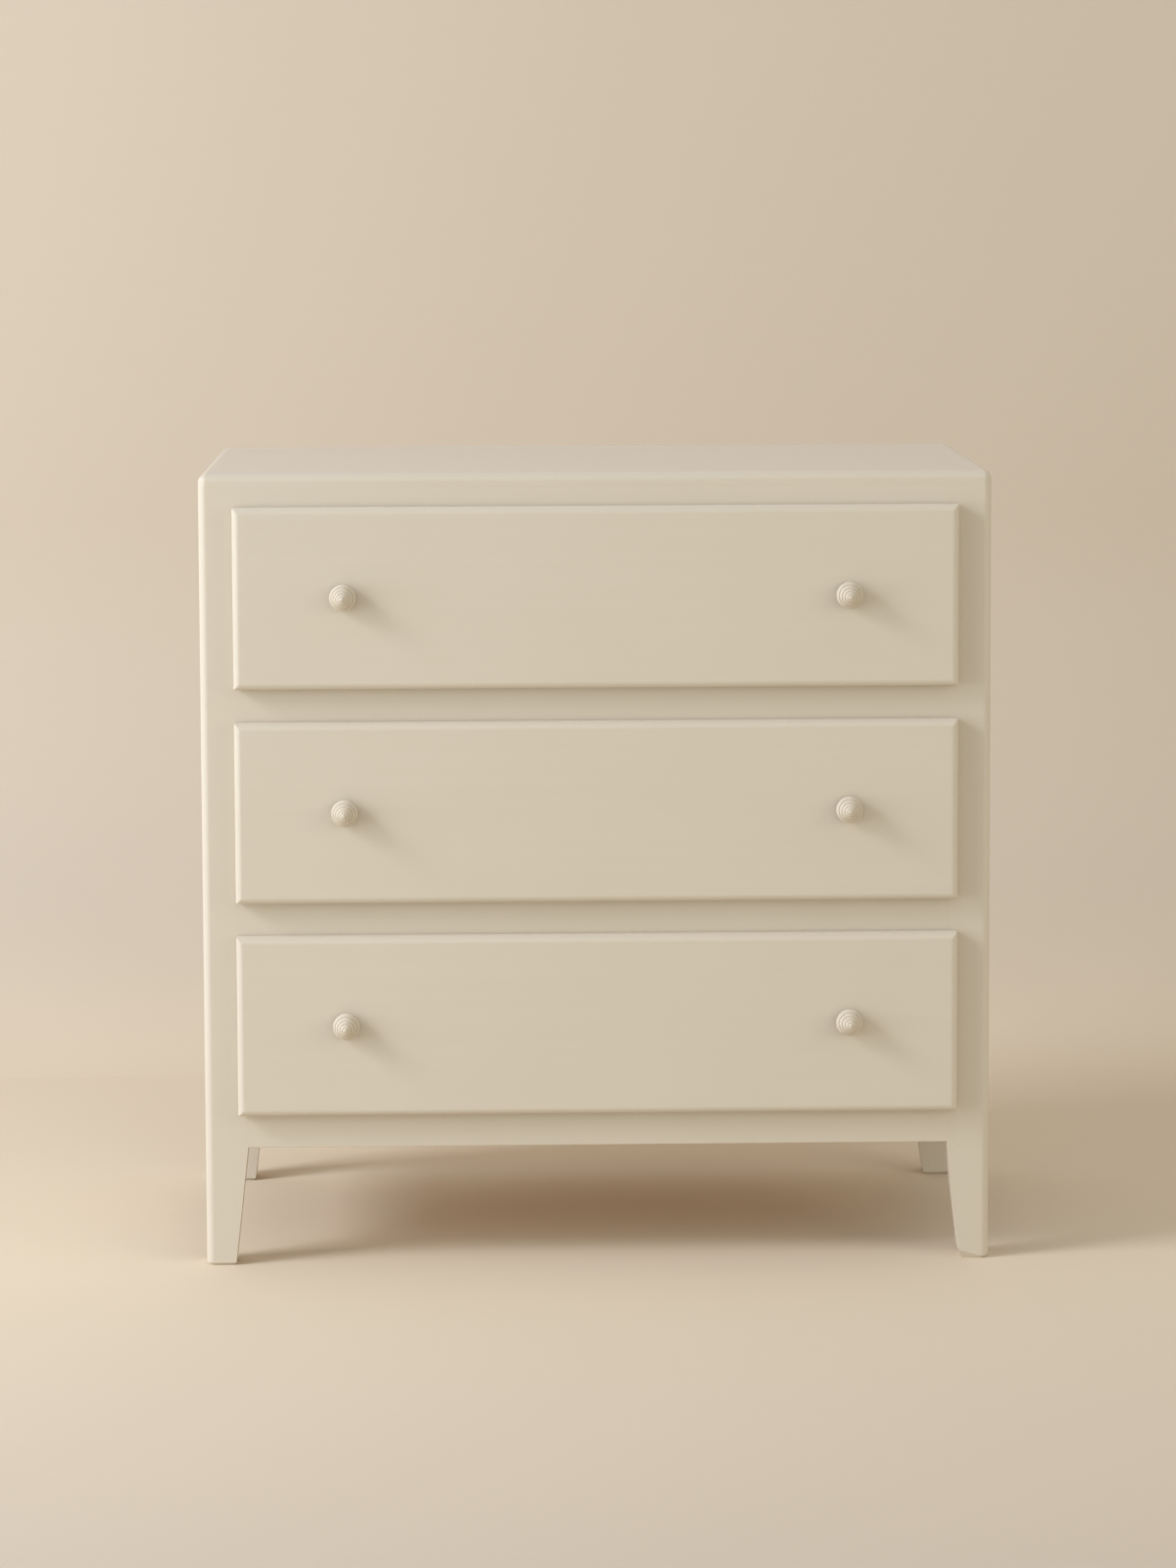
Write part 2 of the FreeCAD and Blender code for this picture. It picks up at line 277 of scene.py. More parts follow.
paintLook = {
    "body": "D0C6B4",
    "shadeOfBody": "CDC3B0",  # where the coat is a little thicker
    "rubbed": "C9BA9E",
    "paintedTopLight": "DCD2C2",  # what faces up, painted lighter: a painted highlight of the light from above
    "under": "A98A5E",  # wood that shows in a chip near the floor
    "chipsUpTo": (0.045, 0.004),  # heights over the floor with no chips and with the most
    "rubRadius": 0.0022,
    "rubShare": 0.35,
    "strokeWidth": 0.0022,
    "strokeLength": 0.14,
    "relief": 0.0002,
}


def paintMaterial(name, direction, look):
    material, tree, shader, at = startMaterial(name, direction)
    lot = addNode(tree, "ShaderNodeTexWhiteNoise", {"Vector": at["middle"]}, noise_dimensions="3D")
    shifted = vectorMath(tree, "ADD", at["turned"], (lot, "Color"))
    strokes = {"Vector": shifted, "Stroke Width": look["strokeWidth"], "Stroke Length": look["strokeLength"]}
    coat = placeGroup(tree, brushCoat, strokes)
    rub = placeGroup(tree, rubbedEdge, {"Vector": shifted, "Radius": look["rubRadius"], "Breakup": 34.0})
    body = mixColours(tree, mapRange(tree, (coat, "Tone"), 0.35, 0.65), look["body"], look["shadeOfBody"])
    facing = addNode(tree, "ShaderNodeNewGeometry")
    # painted highlight: faces that look up are painted a lighter colour, as the light from above would make them
    litFromAboveMask = mapRange(tree, axisOf(tree, (facing, "Normal"), "Z"), 0.8, 1.0)
    paintedTopLit = mixColours(tree, litFromAboveMask, body, look["paintedTopLight"])
    rubbed = mixColours(tree, times(tree, rub, look["rubShare"]), paintedTopLit, look["rubbed"])
    lowDown = mapRange(tree, axisOf(tree, at["point"], "Z"), *look["chipsUpTo"])
    spots = mapRange(tree, noise(tree, at["point"], Scale=150.0, Detail=2.0), 0.6, 0.64)
    chip = mathNode(tree, "MULTIPLY", times(tree, spots, lowDown), rub, clamp=True)
    chipped = mixColours(tree, chip, rubbed, look["under"])
    addSurface(tree, shader, chipped, (coat, "Height"), (0.3, 0.7, 0.47, 0.6), 0.5, look["relief"])
    return material


woodLook = {
    "early": "E0C79C",
    "late": "C89F6C",
    "fibre": "B88D5A",
    "handled": "A9845A",
    "ringWidth": 0.0042,
    "relief": 0.0002,
}


def woodMaterial(name, direction, look):
    material, tree, shader, at = startMaterial(name, direction)
    board = {"Vector": at["turned"], "Board": at["middle"], "Ring Width": look["ringWidth"]}
    figure = placeGroup(tree, boardFigure, board)
    rub = placeGroup(tree, rubbedEdge, {"Vector": at["turned"], "Radius": 0.0014, "Breakup": 60.0})
    rings = mixColours(tree, times(tree, (figure, "Rings"), 0.75), look["early"], look["late"])
    fibred = mixColours(tree, times(tree, (figure, "Fibres"), 0.3), rings, look["fibre"])
    handled = mixColours(tree, times(tree, rub, 0.25), fibred, look["handled"])
    addSurface(tree, shader, handled, (figure, "Height"), (0.0, 1.4, 0.62, 0.5), 0.35, look["relief"])
    return material


plyLook = {
    "veneer": "DBC093",
    "figure": "C7A270",
    "darkPly": "A67F50",
    "lightPly": "D8BC8C",
    "plies": 3,
    "thickness": 0.005,
    "relief": 0.00015,
    "board": {"Ring Width": 0.016, "Warp": 0.05, "Fibre Width": 0.0005, "Fibre Length": 0.02},
}


def plywoodMaterial(name, direction, through, look):
    # veneer on the faces, and its plies where the sheet is cut through
    material, tree, shader, at = startMaterial(name, direction)
    figure = placeGroup(tree, boardFigure, {"Vector": at["turned"], "Board": at["middle"], **look["board"]})
    veneer = mixColours(tree, (figure, "Rings"), look["veneer"], look["figure"])
    fibred = mixColours(tree, times(tree, (figure, "Fibres"), 0.3), veneer, look["figure"])
    depth = axisOf(tree, at["own"], through)
    plyCount = mathNode(tree, "MULTIPLY_ADD", depth, look["plies"] / look["thickness"], look["plies"] / 2)
    plySide = mapRange(tree, mathNode(tree, "PINGPONG", plyCount, 1.0), 0.42, 0.58)
    plies = mixColours(tree, plySide, look["darkPly"], look["lightPly"])
    facing = addNode(tree, "ShaderNodeNewGeometry")
    flatness = mathNode(tree, "ABSOLUTE", axisOf(tree, (facing, "Normal"), through))
    sheet = mixColours(tree, mathNode(tree, "LESS_THAN", flatness, 0.5), fibred, plies)
    addSurface(tree, shader, sheet, (figure, "Height"), (0.0, 1.4, 0.64, 0.52), 0.3, look["relief"])
    return material


steelLook = {"bright": "A9A8A4", "dull": "84827C"}


def steelMaterial(name, look):
    # zinc plate, a little cloudy
    material, tree, shader, at = startMaterial(name, "X")
    cloud = noise(tree, at["turned"], Scale=900.0, Detail=3.0)
    colour = mixColours(tree, cloud, look["bright"], look["dull"])
    rough = mapRange(tree, cloud, 0.3, 0.7, 0.28, 0.48)
    feed(tree, shader, {"Metallic": 1.0, "Base Color": colour, "Roughness": rough})
    return material


knobLook = dict(paintLook, shadeOfBody="CBC0AC", strokeWidth=0.0012, strokeLength=0.01, relief=0.0003)

paintAcross = paintMaterial("creamPaintAcross", "X", paintLook)
paintUpright = paintMaterial("creamPaintUpright", "Z", paintLook)
knobPaint = paintMaterial("knobPaint", "Z", knobLook)
woodAcross = woodMaterial("bareWoodAcross", "X", woodLook)
woodInward = woodMaterial("bareWoodInward", "Y", woodLook)
woodUpright = woodMaterial("bareWoodUpright", "Z", woodLook)
backPly = plywoodMaterial("backPlywood", "Z", "Y", plyLook)
drawerPly = plywoodMaterial("drawerPlywood", "X", "Z", plyLook)
screwSteel = steelMaterial("screwSteel", steelLook)
print("finishes made")


# helpers for pieces

flatOn = 0.9  # a face or an edge counts as along an axis when this much of its direction is
meshCare = {
    "weld": 2e-6,  # metres between points that become one
    "speck": 1e-6,  # metres, and edges shorter than this are dropped
    "flatBelow": 0.6,  # degrees between faces that count as one
    "cornerFrom": 28,  # degrees at an edge that is eased
    "sharpFrom": 34,  # degrees at an edge that is drawn sharp
}
boardEase = {"frame": 0.0007, "drawer": 0.0004, "sheet": 0.0003}


def boxOf(name):
    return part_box(name)


def finishPiece(name, mesh, node, standsFor=True):
    # the piece as an object on its node's body, which it stands for unless it is an extra one such as a screw
    low, high = boxOf(node)
    middle = (low + high) / 2
    mark = mesh.attributes.new("boardMiddle", "FLOAT_VECTOR", "POINT")
    mark.data.foreach_set("vector", [value for _ in mesh.vertices for value in middle])
    piece = bpy.data.objects.new(name, mesh)
    scene.collection.objects.link(piece)
    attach(piece, bodyOf[node])
    if standsFor:
        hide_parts(node)
    return piece


def smoothMesh(bm, name, materials):
    # smooth faces, sharp edges where the angle is large, and normals that keep the broad faces flat
    mesh = bpy.data.meshes.new(name)
    bm.to_mesh(mesh)
    bm.free()
    for material in materials:
        mesh.materials.append(material)
    mesh.polygons.foreach_set("use_smooth", [True] * len(mesh.polygons))
    mesh.set_sharp_from_angle(angle=math.radians(meshCare["sharpFrom"]))
    carrier = bpy.data.objects.new(name, mesh)
    scene.collection.objects.link(carrier)
    carrier.modifiers.new("evenNormals", "WEIGHTED_NORMAL").keep_sharp = True
    bpy.context.view_layer.update()
    graph = bpy.context.evaluated_depsgraph_get()
    even = bpy.data.meshes.new_from_object(carrier.evaluated_get(graph))
    bpy.data.objects.remove(carrier)
    bpy.data.meshes.remove(mesh)
    even.name = name
    return even


def roundedRing(low, high, radii, steps):
    # a closed ring round a rectangle in a plane, its four corners turned by their own radii
    points = []
    corners = [(low[0], low[1], 180), (high[0], low[1], 270), (high[0], high[1], 0), (low[0], high[1], 90)]
    for (u, v, start), radius in zip(corners, radii):
        centre = (u + radius if u == low[0] else u - radius, v + radius if v == low[1] else v - radius)
        for step in range(steps + 1):
            angle = math.radians(start + 90 * step / steps)
            points.append((centre[0] + radius * math.cos(angle), centre[1] + radius * math.sin(angle)))
    return points


def loft(rings):
    # a closed solid through rings of equal length, capped at both ends
    bm = bmesh.new()
    rows = [[bm.verts.new(point) for point in ring] for ring in rings]
    for lower, upper in zip(rows, rows[1:]):
        for i in range(len(lower)):
            j = (i + 1) % len(lower)
            bm.faces.new((lower[i], lower[j], upper[j], upper[i]))
    bm.faces.new(rows[0])
    bm.faces.new(rows[-1])
    bmesh.ops.recalc_face_normals(bm, faces=bm.faces)
    return bm


def easedBoard(node, ease, keepCrisp=None, steps=2):
    # a merged copy of a CAD board with its outer edges taken off
    bm = bmesh.new()
    bm.from_mesh(nodes[node].data)
    bmesh.ops.remove_doubles(bm, verts=bm.verts, dist=meshCare["weld"])
    flatBelow = math.radians(meshCare["flatBelow"])
    bmesh.ops.dissolve_limit(bm, angle_limit=flatBelow, verts=bm.verts, edges=bm.edges)
    bm.normal_update()
    outer = [
        e for e in bm.edges
        if len(e.link_faces) == 2 and e.is_convex and e.calc_face_angle(0) > math.radians(meshCare["cornerFrom"])
        and not (keepCrisp and keepCrisp((e.verts[0].co + e.verts[1].co) / 2, e))
    ]
    bmesh.ops.bevel(
        bm, geom=outer, offset=ease, offset_type="OFFSET", segments=steps, profile=0.5,
        affect="EDGES", clamp_overlap=True,
    )
    bmesh.ops.dissolve_degenerate(bm, dist=meshCare["speck"], edges=bm.edges)
    bmesh.ops.recalc_face_normals(bm, faces=bm.faces)
    return bm


def paintOutside(bm, isBare):
    # the second material goes on the faces that the brush never reached
    for face in bm.faces:
        face.material_index = 1 if isBare(face.calc_center_median(), face.normal) else 0


# top board, rounded over in front and at its sides

topBoard = {
    "cornerRadius": 0.0095,
    "leastRadius": 0.0004,
    "rearRadius": 0.0006,
    "cornerSteps": 10,
    "edgeRadius": 0.009,
    "roundSteps": 12,
    "rearEase": 0.0008,
    "rearFrom": 0.7,  # the share of the round after which the rear edge is eased too
    "underEase": 0.00004,
}


def makeTopBoard(p):
    low, high = boxOf("top_board")
    rings = []

    def ring(inset, rear, z):
        front = max(p["cornerRadius"] - inset, p["leastRadius"])
        radii = (front, front, p["rearRadius"], p["rearRadius"])
        ends = (low.x + inset, low.y + inset), (high.x - inset, high.y - rear)
        points = roundedRing(*ends, radii, p["cornerSteps"])
        rings.append([(x, y, z) for x, y in points])

    ring(p["underEase"], p["underEase"], low.z)
    ring(0, 0, low.z + p["underEase"])
    for step in range(p["roundSteps"] + 1):
        angle = quarterTurn * step / p["roundSteps"]
        share = step / p["roundSteps"]
        rear = p["rearEase"] * max(0, (share - p["rearFrom"]) / (1 - p["rearFrom"])) ** 2
        ring(p["edgeRadius"] * (1 - math.cos(angle)), rear, high.z - p["edgeRadius"] * (1 - math.sin(angle)))
    bm = loft(rings)
    paintOutside(bm, lambda at, normal: normal.z < -flatOn)
    finishPiece("topBoard", smoothMesh(bm, "topBoard", [paintAcross, woodAcross]), "top_board")


makeTopBoard(topBoard)
print("top board made")


# posts, each one stile and one tapered leg

posts = {
    "ease": 0.0009,
    "legTop": 0.134,
    "taper": 0.015,  # how far the leg narrows down to the foot
    "footChamfer": 0.003,
    "knockedTo": 0.0095,  # the right front foot's inner corner is knocked off up to this height
    "knockedWidth": 0.004,
    "knockedBelow": 0.0045,  # only points below this height are moved
    "slack": 0.001,  # edges stay crisp from this far under the leg's top, and the post is cut this far over it
}


def makePost(side, place, p):
    node = side + "_" + place + "_post"
    low, high = boxOf(node)
    sign = -1 if side == "left" else 1
    innerX = min(abs(low.x), abs(high.x))

    def keepCrisp(at, edge):
        # the joints with the rails and the panels are painted over, so they stay closed
        return at.z > p["legTop"] - p["slack"]

    bm = easedBoard(node, p["ease"], keepCrisp, 3)
    if (side, place) == ("right", "front"):
        footInner = innerX + p["taper"]
        for v in bm.verts:
            if v.co.z < p["knockedBelow"] and abs(v.co.x) < footInner + p["knockedWidth"]:
                pull = 1 - min(1.0, max(0.0, (abs(v.co.x) - footInner) / p["knockedWidth"]))
                v.co.z += pull * v.co.z * (p["knockedTo"] / p["footChamfer"] - 1)
    # the leg is painted all round, the stile only where no panel or rail covers it
    panelFace = max(abs(end.x) for end in boxOf(side + "_side_panel"))
    for cutAt, across in (((0, 0, p["legTop"] + p["slack"]), (0, 0, 1)), ((sign * panelFace, 0, 0), (1, 0, 0))):
        bmesh.ops.bisect_plane(
            bm, geom=bm.verts[:] + bm.edges[:] + bm.faces[:], dist=meshCare["speck"], plane_co=cutAt, plane_no=across,
        )
    paintOutside(bm, lambda at, normal: at.z > p["legTop"] and abs(at.x) < panelFace and (
        normal.x * sign < -flatOn and place == "rear" or normal.y > flatOn and place == "front"))
    name = side + place.capitalize() + "Post"
    finishPiece(name, smoothMesh(bm, name, [paintUpright, woodUpright]), node)


for side in ("left", "right"):
    for place in ("front", "rear"):
        makePost(side, place, posts)
print("posts made")


# rails in front and behind, and the side panels

rails = {"ease": 0.0008, "hiddenFrom": 0.3925}  # sideways, where a rail runs into the posts


def makeFrontRail(node, name, p):
    low, high = boxOf(node)

    def keepCrisp(at, edge):
        upright = abs((edge.verts[0].co - edge.verts[1].co).normalized().x) < flatOn
        underTop = node == "top_rail" and at.z > high.z - 0.001
        return upright or underTop or abs(at.x) > p["hiddenFrom"]

    bm = easedBoard(node, p["ease"], keepCrisp)
    paintOutside(bm, lambda at, normal: normal.y > flatOn or abs(at.x) > p["hiddenFrom"])
    finishPiece(name, smoothMesh(bm, name, [paintAcross, woodAcross]), node)


for node, name in (
    ("bottom_rail", "bottomRail"), ("lower_divider_rail", "lowerDividerRail"),
    ("upper_divider_rail", "upperDividerRail"), ("top_rail", "topRail"),
):
    makeFrontRail(node, name, rails)


sidePanels = {"ease": 0.0006, "freeBelow": 0.14}  # only the lower edge is free


def makeSidePanel(side, p):
    node = side + "_side_panel"
    sign = -1 if side == "left" else 1
    bm = easedBoard(node, p["ease"], lambda at, edge: at.z > p["freeBelow"])
    paintOutside(bm, lambda at, normal: normal.x * sign < -flatOn)
    name = side + "SidePanel"
    finishPiece(name, smoothMesh(bm, name, [paintUpright, woodUpright]), node)


makeSidePanel("left", sidePanels)
makeSidePanel("right", sidePanels)


def makeBoard(node, name, material, ease):
    bm = easedBoard(node, ease)
    finishPiece(name, smoothMesh(bm, name, [material]), node)


makeBoard("lower_rear_rail", "lowerRearRail", woodAcross, boardEase["frame"])
makeBoard("upper_rear_rail", "upperRearRail", woodAcross, boardEase["frame"])
makeBoard("back_panel", "backPanel", backPly, boardEase["sheet"])
for side in ("left", "right"):
    makeBoard(side + "_top_cleat", side + "TopCleat", woodInward, boardEase["frame"])
    for level in ("lower", "middle", "upper"):
        name = side + level.capitalize() + "Runner"
        makeBoard(side + "_" + level + "_runner", name, woodInward, boardEase["frame"])
print("frame and runners made")


# drawer fronts, with a round that meets in soft mitres

drawerFront = {
    "edgeRound": 0.008,
    "mitreRadius": 0.0012,
    "backInset": 0.0016,  # the fine dark gap where the front lies on the frame
    "backDepth": 0.0011,
    "backSlope": 0.0004,
    "arcSteps": 9,
    "mitreSteps": 4,
}


def makeDrawerFront(level, p):
    node = level + "_drawer_front"
    low, high = boxOf(node)
    face, back = low.y, high.y
    gapEnd = back - p["backDepth"]
    profile = [(p["backInset"], back), (p["backInset"], gapEnd), (0, gapEnd - p["backSlope"])]
    for step in range(p["arcSteps"] + 1):
        angle = quarterTurn * step / p["arcSteps"]
        profile.append((p["edgeRound"] * (1 - math.cos(angle)), face + p["edgeRound"] * (1 - math.sin(angle))))
    rings = []
    for inset, y in profile:
        ends = (low.x + inset, low.z + inset), (high.x - inset, high.z - inset)
        points = roundedRing(*ends, (p["mitreRadius"],) * 4, p["mitreSteps"])
        rings.append([(x, y, z) for x, z in points])
    bm = loft(rings)
    name = level + "DrawerFront"
    finishPiece(name, smoothMesh(bm, name, [paintAcross]), node)


# drawer boxes, dovetailed, on grooves for the runners

def makeDrawerBox(level):
    stem = level + "_drawer_"
    title = level + "Drawer"
    makeBoard(stem + "inner_front", title + "InnerFront", woodAcross, boardEase["drawer"])
    makeBoard(stem + "back", title + "Back", woodAcross, boardEase["drawer"])
    makeBoard(stem + "left_side", title + "LeftSide", woodInward, boardEase["drawer"])
    makeBoard(stem + "right_side", title + "RightSide", woodInward, boardEase["drawer"])
    makeBoard(stem + "bottom", title + "Bottom", drawerPly, boardEase["sheet"])


for level in ("lower", "middle", "upper"):
    makeDrawerFront(level, drawerFront)
    makeDrawerBox(level)
print("drawers made")


# knobs, turned in rings, by a rule

fullTurn = 6.28
endReach = 0.00001  # points at the ends of a tube that are closer than this become one


def inputOf(tree, name):
    sockets = (s for s in tree.interface.items_tree if s.item_type == "SOCKET" and s.in_out == "INPUT")
    return next(s.identifier for s in sockets if s.name == name)


def growMesh(name, tree, values, sharpAngle, points=()):
    # runs a tree, on points if it wants them, and keeps its result as a plain mesh
    startMesh = bpy.data.meshes.new(name + "Start")
    startMesh.from_pydata(points, [], [])
    carrier = bpy.data.objects.new(name, startMesh)
    modifier = carrier.modifiers.new(tree.name, "NODES")
    modifier.node_group = tree
    for label, value in values.items():
        modifier[inputOf(tree, label)] = value
    scene.collection.objects.link(carrier)
    bpy.context.view_layer.update()
    graph = bpy.context.evaluated_depsgraph_get()
    mesh = bpy.data.meshes.new_from_object(carrier.evaluated_get(graph))
    carrier.modifiers.remove(modifier)
    bpy.data.objects.remove(carrier)
    mesh.name = name
    while mesh.materials and mesh.materials[0] is None:
        mesh.materials.pop(index=0)
    mesh.polygons.foreach_set("use_smooth", [True] * len(mesh.polygons))
    mesh.set_sharp_from_angle(angle=math.radians(sharpAngle))
    return mesh


def chooser(tree, test, whenFalse, whenTrue):
    sockets = {"Switch": test, "False": whenFalse, "True": whenTrue}
    return addNode(tree, "GeometryNodeSwitch", sockets, input_type="FLOAT")


def compare(tree, operation, first, second):
    return addNode(tree, "FunctionNodeCompare", {0: first, 1: second}, data_type="FLOAT", operation=operation)


def blend(tree, share, first, second):
    return addNode(tree, "ShaderNodeMix", {0: share, 2: first, 3: second}, data_type="FLOAT")


def cutAxis(tree, count):
    # a line up Z, one metre long, cut into equal steps
    axis = addNode(tree, "GeometryNodeCurvePrimitiveLine", {"End": (0, 0, 1)})
    return addNode(tree, "GeometryNodeResampleCurve", {0: axis, "Count": count})


def roundTube(tree, curve, sides, scale=None):
    circle = addNode(tree, "GeometryNodeCurvePrimitiveCircle", {"Resolution": sides, "Radius": 1.0})
    sockets = {"Curve": curve, "Profile Curve": circle, "Scale": scale, "Fill Caps": True}
    return addNode(tree, "GeometryNodeCurveToMesh", sockets)


def mergeEnds(tree, mesh):
    return addNode(tree, "GeometryNodeMergeByDistance", {"Geometry": mesh, "Distance": endReach})


def placeCopies(tree, start, points, shape, turn):
    # copies on points, each turned as asked and then spun about its own axis by chance
    spin = addNode(tree, "FunctionNodeRandomValue", {3: fullTurn, "Seed": (start, "Seed")}, data_type="FLOAT")
    spinTurn = addNode(tree, "FunctionNodeAxisAngleToRotation", {"Axis": (0, 0, 1), "Angle": (spin, 1)})
    posed = addNode(tree, "FunctionNodeRotateRotation", {0: turn, 1: spinTurn}, rotation_space="LOCAL")
    sockets = {"Points": points, "Instance": shape, "Rotation": posed}
    return addNode(tree, "GeometryNodeRealizeInstances", {0: addNode(tree, "GeometryNodeInstanceOnPoints", sockets)})


knobMake = {
    "cuts": 97,
    "sides": 56,
    "sunk": -0.0006,  # the foot starts a little below the face, so that no gap shows
    "tilt": (0.02, 0.01, 0.02),  # how far a knob may lean from straight
    "grain": 260.0,
    "sharpAngle": 38,
}


def makeKnobTree(p):
    tree, start, end = newGroup(
        "turnedKnobs", "GeometryNodeTree",
        [("Rings", "Int", 5), ("Foot Radius", "Float", 0.0085), ("Base Radius", "Float", 0.0147),
         ("Tip Radius", "Float", 0.003), ("Flare", "Float", 0.0055), ("Length", "Float", 0.0292),
         ("Dome", "Float", 1.6), ("Round", "Float", 2.27), ("Wobble", "Float", 0.0003), ("Spacing", "Float", 0.56),
         ("Place", "Vector", None), ("Seed", "Int", 1), ("Paint", "Material", None)],
        [("Geometry", "Geometry")],
    )
    rings, base, flare, length = [(start, label) for label in ("Rings", "Base Radius", "Flare", "Length")]
    roundBy = (start, "Round")

    def calc(operation, *values):
        return mathNode(tree, operation, *values)

    along = addNode(tree, "ShaderNodeSeparateXYZ", {0: addNode(tree, "GeometryNodeInputPosition")})
    spot = calc("MULTIPLY", (along, "Z"), calc("ADD", rings, 1.0))  # the flare counts as one more
    lastPart = calc("ADD", rings, 0.0)
    part = calc("MINIMUM", calc("FLOOR", spot), lastPart)
    within = calc("SUBTRACT", spot, part)
    angle = calc("MULTIPLY", within, quarterTurn)
    sine, cosine = calc("SINE", angle), calc("COSINE", angle)
    # rings: radius at the ring's start and end
    fallStep = calc("DIVIDE", calc("SUBTRACT", base, (start, "Tip Radius")), calc("SUBTRACT", rings, 1.0))
    outer = calc("SUBTRACT", base, calc("MULTIPLY", calc("SUBTRACT", part, 1.0), fallStep))
    isTip = compare(tree, "GREATER_EQUAL", part, lastPart)
    inner = chooser(tree, isTip, calc("SUBTRACT", outer, fallStep), 0.0)
    rise = calc("SUBTRACT", length, flare)

    def onDome(radius):
        # the rings lie on a dome that starts at the flare and ends at the tip
        share = calc("POWER", calc("DIVIDE", radius, base), (start, "Dome"))
        return calc("SUBTRACT", length, calc("MULTIPLY", share, rise))

    ringStart, ringEnd = onDome(outer), onDome(inner)
    # each ring is rounded over past its crest, so that a groove follows it, and the tip is a quarter round
    ringAngle = calc("MULTIPLY", within, roundBy)
    roundRadius = mapRange(tree, calc("COSINE", ringAngle), calc("COSINE", roundBy), 1.0, inner, outer)
    roundReach = mapRange(tree, calc("SINE", ringAngle), 0.0, calc("SINE", roundBy), ringStart, ringEnd, clamp=False)
    ringRadius = chooser(tree, isTip, roundRadius, blend(tree, cosine, inner, outer))
    ringReach = chooser(tree, isTip, roundReach, blend(tree, sine, ringStart, ringEnd))
    # flare: from the foot out to the first ring
    flareRadius = blend(tree, calc("SUBTRACT", 1.0, cosine), (start, "Foot Radius"), base)
    flareReach = blend(tree, sine, p["sunk"], flare)
    isFlare = compare(tree, "LESS_THAN", part, 0.5)
    radius = chooser(tree, isFlare, ringRadius, flareRadius)
    reach = chooser(tree, isFlare, ringReach, flareReach)
    # a plain tube is drawn out to that outline
    sides = {axis: calc("MULTIPLY", (along, axis), radius) for axis in ("X", "Y")}
    position = addNode(tree, "ShaderNodeCombineXYZ", {**sides, "Z": reach})
    tube = roundTube(tree, cutAxis(tree, p["cuts"]), p["sides"])
    knob = mergeEnds(tree, addNode(tree, "GeometryNodeSetPosition", {"Geometry": tube, "Position": position}))
    # each knob was turned and painted by hand
    leftOfMiddle = addNode(tree, "ShaderNodeCombineXYZ", {"X": calc("MULTIPLY", (start, "Spacing"), -0.5)})
    firstKnob = vectorMath(tree, "ADD", leftOfMiddle, (start, "Place"))
    stepRight = addNode(tree, "ShaderNodeCombineXYZ", {"X": (start, "Spacing")})
    row = {"Count": 2, "Start Location": firstKnob, "Offset": stepRight}
    knobEnds = addNode(tree, "GeometryNodeMeshLine", row, mode="OFFSET")
    lean, roll, swing = p["tilt"]
    tiltRange = {0: (quarterTurn - lean, -roll, -swing), 1: (quarterTurn + lean, roll, swing), "Seed": (start, "Seed")}
    tilt = addNode(tree, "FunctionNodeRandomValue", tiltRange, data_type="FLOAT_VECTOR")
    real = placeCopies(tree, start, knobEnds, knob, addNode(tree, "FunctionNodeEulerToRotation", {0: tilt}))
    grainAt = addNode(tree, "GeometryNodeInputPosition")
    sockets = {"Vector": grainAt, "W": (start, "Seed"), "Scale": p["grain"], "Detail": 1.0}
    grain = addNode(tree, "ShaderNodeTexNoise", sockets, noise_dimensions="4D")
    centred = vectorMath(tree, "SUBTRACT", (grain, "Color"), (0.5, 0.5, 0.5))
    wobble = vectorMath(tree, "SCALE", centred, scale=(start, "Wobble"))
    uneven = addNode(tree, "GeometryNodeSetPosition", {"Geometry": real, "Offset": wobble})
    feed(tree, end, {0: addNode(tree, "GeometryNodeSetMaterial", {"Geometry": uneven, "Material": (start, "Paint")})})
    return tree


knobs = {
    "Dome": 1.5,
    "Round": 1.87,  # how far round each ring is turned, 1.57 ends it at its crest
    "Wobble": 0.0003,
    "Spacing": 0.56,
}
knobTree = makeKnobTree(knobMake)


def makeKnobs(level, seed, p):
    node = level + "_drawer_knobs"
    low, high = boxOf(node)
    values = dict(p, Place=(0.0, high.y, (low.z + high.z) / 2), Seed=seed, Paint=knobPaint)
    name = level + "DrawerKnobs"
    finishPiece(name, growMesh(name, knobTree, values, knobMake["sharpAngle"]), node)


for seed, level in enumerate(("lower", "middle", "upper")):
    makeKnobs(level, seed + 3, knobs)
print("knobs made")


# screws with a cross in their heads, by a rule

screwMake = {
    "headSteps": 10,
    "sides": 20,
    "roundness": 0.55,  # of the head, where less is flatter
    "seat": -0.00002,
    "crossLength": 1.05,  # of the head's radius, and so is its width
    "crossWidth": 0.24,
    "sharpAngle": 34,
}


